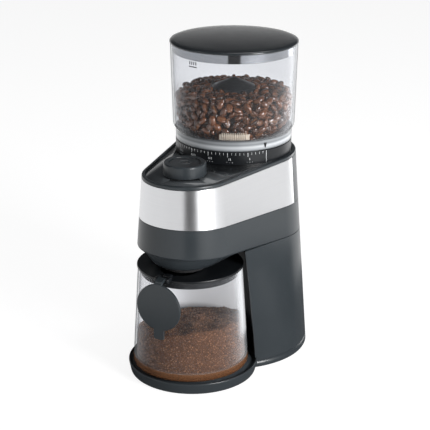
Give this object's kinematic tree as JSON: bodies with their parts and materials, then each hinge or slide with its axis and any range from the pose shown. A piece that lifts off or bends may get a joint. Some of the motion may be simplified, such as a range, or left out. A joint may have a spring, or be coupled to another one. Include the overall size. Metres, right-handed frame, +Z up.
{
  "type": "burr coffee grinder",
  "caption": "Electric burr coffee grinder: motor tower, steel-banded head with start dial, clear bean hopper above and a clear grounds jar in the bay below.",
  "frame": {"origin": "on the table under the middle of the bounding box", "axes": "+Z up; the front, with the jar and the dial, faces -Y; +X is the right-hand side seen from the front"},
  "size_m": [0.1632, 0.235, 0.3278],
  "materials": {
    "body_plastic": "fine satin grain",
    "dark_plastic": "satin",
    "gloss_panel": "high gloss",
    "brushed_steel": "horizontal brush",
    "bright_ring": "bright",
    "machined_steel": "machined",
    "brass": "machined",
    "copper": "varnished windings and laminations",
    "magnet_black": "matt",
    "white_nylon": "moulded",
    "rubber": "matt",
    "circuit_board": "lacquered",
    "clear_plastic": "clear and polished"
  },
  "bodies": {
    "housing": {"base_plate": "body_plastic", "tower_shell": "body_plastic", "rear_vent_cover": "body_plastic", "head_housing": "body_plastic", "head_underside": "body_plastic", "rear_cover": "body_plastic", "top_bezel": "body_plastic", "tower_front": "dark_plastic", "scale_ring": "dark_plastic", "grounds_chute": "dark_plastic", "start_switch": "dark_plastic", "top_panel": "gloss_panel", "steel_band": "brushed_steel", "base_screw_1": "machined_steel", "base_screw_2": "machined_steel", "base_screw_3": "machined_steel", "frame_post_1": "machined_steel", "frame_post_2": "machined_steel", "frame_post_3": "machined_steel", "motor_can": "machined_steel", "idler_axle": "machined_steel", "gearbox_plate": "machined_steel", "shaft_bearing_upper": "machined_steel", "shaft_bearing_lower": "brass", "dial_encoder": "magnet_black", "motor_end_cap": "white_nylon", "gearbox_wall": "white_nylon", "gearbox_cover": "white_nylon", "grind_chamber": "white_nylon", "rubber_foot_1": "rubber", "rubber_foot_2": "rubber", "rubber_foot_3": "rubber", "rubber_foot_4": "rubber", "cord_gland": "rubber", "control_board": "circuit_board"},
    "rotor": {"motor_shaft": "machined_steel", "armature": "copper", "cooling_fan": "white_nylon", "motor_pinion": "brass"},
    "idler": {"idler_wheel": "white_nylon", "idler_pinion": "machined_steel"},
    "spindle": {"burr_shaft": "machined_steel", "burr_gear": "white_nylon", "impeller": "white_nylon", "cone_burr": "machined_steel"},
    "carrier": {"burr_carrier": "white_nylon", "ring_burr": "machined_steel"},
    "adjuster": {"adjusting_ring": "white_nylon"},
    "hopper": {"bean_hopper": "clear_plastic", "hopper_base_ring": "dark_plastic", "finger_guard": "dark_plastic", "grind_pointer": "dark_plastic"},
    "lid": {"hopper_lid": "body_plastic", "lid_skirt_ring": "bright_ring"},
    "dial": {"dial_knob": "body_plastic"},
    "button": {"start_button": "dark_plastic"},
    "jar": {"grounds_jar": "clear_plastic", "jar_lid": "dark_plastic", "cap_hinge_pin": "machined_steel"},
    "cap": {"jar_cap": "body_plastic"}
  },
  "joints": [
    {"name": "motor_spin", "type": "hinge", "parent": "housing", "child": "rotor", "pos_m": [0, 0.0765, 0.08], "axis": [0, 0, 1], "continuous": true},
    {"name": "idler_spin", "type": "hinge", "parent": "housing", "child": "idler", "pos_m": [0.024, 0.0585, 0.13], "axis": [0, 0, 1], "continuous": true},
    {"name": "burr_spin", "type": "hinge", "parent": "housing", "child": "spindle", "pos_m": [0, 0.0405, 0.15], "axis": [0, 0, 1], "continuous": true},
    {"name": "grind_adjust", "type": "hinge", "parent": "housing", "child": "adjuster", "pos_m": [0, 0.0405, 0.202], "axis": [0, 0, -1], "range_deg": [0, 120]},
    {"name": "burr_gap", "type": "slide", "parent": "housing", "child": "carrier", "axis": [0, 0, 1], "range_m": [0, 0.00081]},
    {"name": "hopper_lift", "type": "slide", "parent": "adjuster", "child": "hopper", "axis": [0, 0, 1], "range_m": [0, 0.13]},
    {"name": "lid_lift", "type": "slide", "parent": "hopper", "child": "lid", "axis": [0, 0, 1], "range_m": [0, 0.06]},
    {"name": "dial_turn", "type": "hinge", "parent": "housing", "child": "dial", "pos_m": [0, -0.0625, 0.22], "axis": [0, 0, -1], "range_deg": [0, 270]},
    {"name": "start_press", "type": "slide", "parent": "housing", "child": "button", "axis": [0, 0, -1], "range_m": [0, 0.0015], "stiffness_N_per_m": 300, "springref_m": -0.001},
    {"name": "jar_pull", "type": "slide", "parent": "housing", "child": "jar", "axis": [0, -1, 0], "range_m": [0, 0.14]},
    {"name": "cap_swing", "type": "hinge", "parent": "jar", "child": "cap", "pos_m": [0, -0.109, 0.1198], "axis": [-1, 0, 0], "range_deg": [0, 120]}
  ],
  "couplings": [
    {"joint": "idler_spin", "follows": "motor_spin", "ratio": -0.33333},
    {"joint": "burr_spin", "follows": "motor_spin", "ratio": 0.11111},
    {"joint": "burr_gap", "follows": "grind_adjust", "m_per_rad": 0.00038197}
  ]
}
